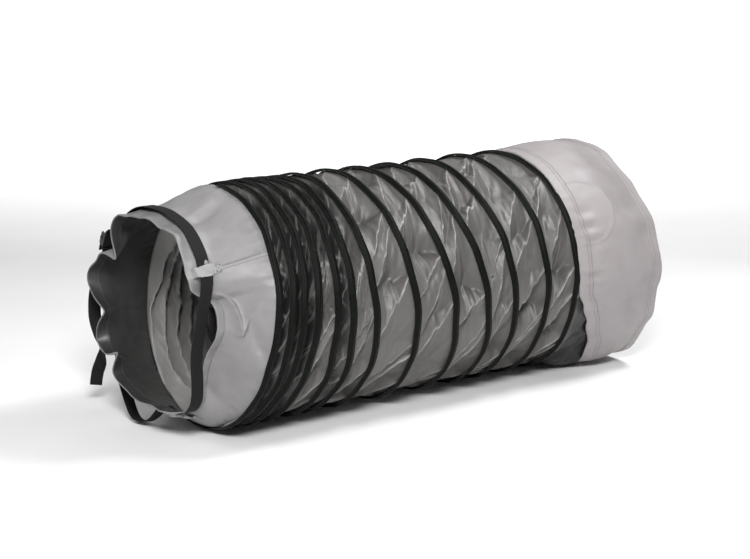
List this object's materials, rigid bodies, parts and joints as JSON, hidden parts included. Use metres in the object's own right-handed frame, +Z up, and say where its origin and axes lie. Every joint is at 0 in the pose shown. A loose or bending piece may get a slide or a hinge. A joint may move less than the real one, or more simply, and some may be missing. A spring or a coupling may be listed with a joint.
{
  "type": "flexible air duct",
  "caption": "Wire-helix flexible air duct of coated fabric with wear strip, a belted cuff at one end and a plain sewn cuff at the other.",
  "frame": {"origin": "floor level under the middle of the duct as it lies", "axes": "+X along the duct from the belted cuff to the plain cuff, +Z up"},
  "size_m": [1.105, 0.4766, 0.4663],
  "materials": {
    "coated_fabric_wall": "PVC-coated woven fabric, grey, satin sheen, creased",
    "coated_fabric_near": "PVC-coated woven fabric, light grey outside and dark grey inside",
    "coated_fabric_far": "PVC-coated woven fabric, pale warm grey, double stitched",
    "wear_strip": "black extruded PVC wear strip with a slight sheen",
    "spring_wire": "drawn spring steel",
    "strap_webbing": "black woven polypropylene webbing",
    "loop_webbing": "light grey woven tape, stitched",
    "buckle_steel": "zinc plated pressed steel"
  },
  "bodies": {
    "near_end": {"near_cuff": "coated_fabric_near", "near_cuff_hem": "coated_fabric_near", "belt_loop_1": "loop_webbing", "belt_loop_2": "loop_webbing", "belt_loop_3": "loop_webbing", "belt_loop_4": "loop_webbing", "belt_loop_5": "loop_webbing", "strap": "strap_webbing", "buckle_frame": "buckle_steel", "buckle_pin": "buckle_steel", "buckle_spring": "buckle_steel", "wire_turn_01": "spring_wire", "wear_strip_01": "wear_strip", "wall_panel_01": "coated_fabric_wall"},
    "turn_02": {"wire_turn_02": "spring_wire", "wear_strip_02": "wear_strip", "wall_panel_02": "coated_fabric_wall"},
    "turn_03": {"wire_turn_03": "spring_wire", "wear_strip_03": "wear_strip", "wall_panel_03": "coated_fabric_wall"},
    "turn_04": {"wire_turn_04": "spring_wire", "wear_strip_04": "wear_strip", "wall_panel_04": "coated_fabric_wall"},
    "turn_05": {"wire_turn_05": "spring_wire", "wear_strip_05": "wear_strip", "wall_panel_05": "coated_fabric_wall"},
    "turn_06": {"wire_turn_06": "spring_wire", "wear_strip_06": "wear_strip", "wall_panel_06": "coated_fabric_wall"},
    "turn_07": {"wire_turn_07": "spring_wire", "wear_strip_07": "wear_strip", "wall_panel_07": "coated_fabric_wall"},
    "turn_08": {"wire_turn_08": "spring_wire", "wear_strip_08": "wear_strip", "wall_panel_08": "coated_fabric_wall"},
    "turn_09": {"wire_turn_09": "spring_wire", "wear_strip_09": "wear_strip", "wall_panel_09": "coated_fabric_wall"},
    "turn_10": {"wire_turn_10": "spring_wire", "wear_strip_10": "wear_strip", "wall_panel_10": "coated_fabric_wall"},
    "turn_11": {"wire_turn_11": "spring_wire", "wear_strip_11": "wear_strip", "wall_panel_11": "coated_fabric_wall"},
    "turn_12": {"wire_turn_12": "spring_wire", "wear_strip_12": "wear_strip", "wall_panel_12": "coated_fabric_wall"},
    "turn_13": {"wire_turn_13": "spring_wire", "wear_strip_13": "wear_strip", "wall_panel_13": "coated_fabric_wall", "far_cuff": "coated_fabric_far", "far_cuff_hem": "coated_fabric_far", "far_seam_band": "coated_fabric_far"},
    "buckle_cam": {"buckle_lever": "buckle_steel"},
    "belt_tail": {"strap_tail": "strap_webbing"}
  },
  "joints": [
    {"name": "turn_02_stretch", "type": "slide", "parent": "near_end", "child": "turn_02", "axis": [1, 0, 0], "range_m": [0, 0.055], "deforming": ["wall_panel_01"]},
    {"name": "turn_03_stretch", "type": "slide", "parent": "turn_02", "child": "turn_03", "axis": [1, 0, 0], "range_m": [0, 0.055], "deforming": ["wall_panel_02"]},
    {"name": "turn_04_stretch", "type": "slide", "parent": "turn_03", "child": "turn_04", "axis": [1, 0, 0], "range_m": [0, 0.055], "deforming": ["wall_panel_03"]},
    {"name": "turn_05_stretch", "type": "slide", "parent": "turn_04", "child": "turn_05", "axis": [1, 0, 0], "range_m": [0, 0.055], "deforming": ["wall_panel_04"]},
    {"name": "turn_06_stretch", "type": "slide", "parent": "turn_05", "child": "turn_06", "axis": [1, 0, 0], "range_m": [0, 0.055], "deforming": ["wall_panel_05"]},
    {"name": "turn_07_stretch", "type": "slide", "parent": "turn_06", "child": "turn_07", "axis": [1, 0, 0], "range_m": [0, 0.055], "deforming": ["wall_panel_06"]},
    {"name": "turn_08_bend", "type": "hinge", "parent": "turn_07", "child": "turn_08", "pos_m": [-0.129, -0.00254, 0.23314], "axis": [0, 0, 1], "range_deg": [-12, 12], "deforming": ["wall_panel_07"]},
    {"name": "turn_09_stretch", "type": "slide", "parent": "turn_08", "child": "turn_09", "axis": [1, 0, 0], "range_m": [-0.045, 0.015], "deforming": ["wall_panel_08"]},
    {"name": "turn_10_bend", "type": "hinge", "parent": "turn_09", "child": "turn_10", "pos_m": [0.02, -0.00254, 0.23314], "axis": [0, 0, 1], "range_deg": [-12, 12], "deforming": ["wall_panel_09"]},
    {"name": "turn_11_stretch", "type": "slide", "parent": "turn_10", "child": "turn_11", "axis": [1, 0, 0], "range_m": [-0.045, 0.015], "deforming": ["wall_panel_10"]},
    {"name": "turn_12_bend", "type": "hinge", "parent": "turn_11", "child": "turn_12", "pos_m": [0.21, -0.00254, 0.23314], "axis": [0, 0, 1], "range_deg": [-12, 12], "deforming": ["wall_panel_11"]},
    {"name": "turn_13_stretch", "type": "slide", "parent": "turn_12", "child": "turn_13", "axis": [1, 0, 0], "range_m": [-0.015, 0.005], "deforming": ["wall_panel_12"]},
    {"name": "buckle_lever_lift", "type": "hinge", "parent": "near_end", "child": "buckle_cam", "pos_m": [-0.5165, 0.2084, 0.3453], "axis": [1, 0, 0], "range_deg": [0, 100]},
    {"name": "belt_tail_pull", "type": "slide", "parent": "near_end", "child": "belt_tail", "axis": [0, 0.4695, -0.8829], "range_m": [-0.015, 0.012]}
  ],
  "couplings": [
    {"joint": "turn_03_stretch", "follows": "turn_02_stretch", "ratio": 1},
    {"joint": "turn_04_stretch", "follows": "turn_02_stretch", "ratio": 1},
    {"joint": "turn_05_stretch", "follows": "turn_02_stretch", "ratio": 1},
    {"joint": "turn_06_stretch", "follows": "turn_02_stretch", "ratio": 1},
    {"joint": "turn_07_stretch", "follows": "turn_02_stretch", "ratio": 1},
    {"joint": "turn_10_bend", "follows": "turn_08_bend", "ratio": 1},
    {"joint": "turn_11_stretch", "follows": "turn_09_stretch", "ratio": 1},
    {"joint": "turn_12_bend", "follows": "turn_08_bend", "ratio": 1},
    {"joint": "turn_13_stretch", "follows": "turn_09_stretch", "ratio": 0.33333}
  ]
}
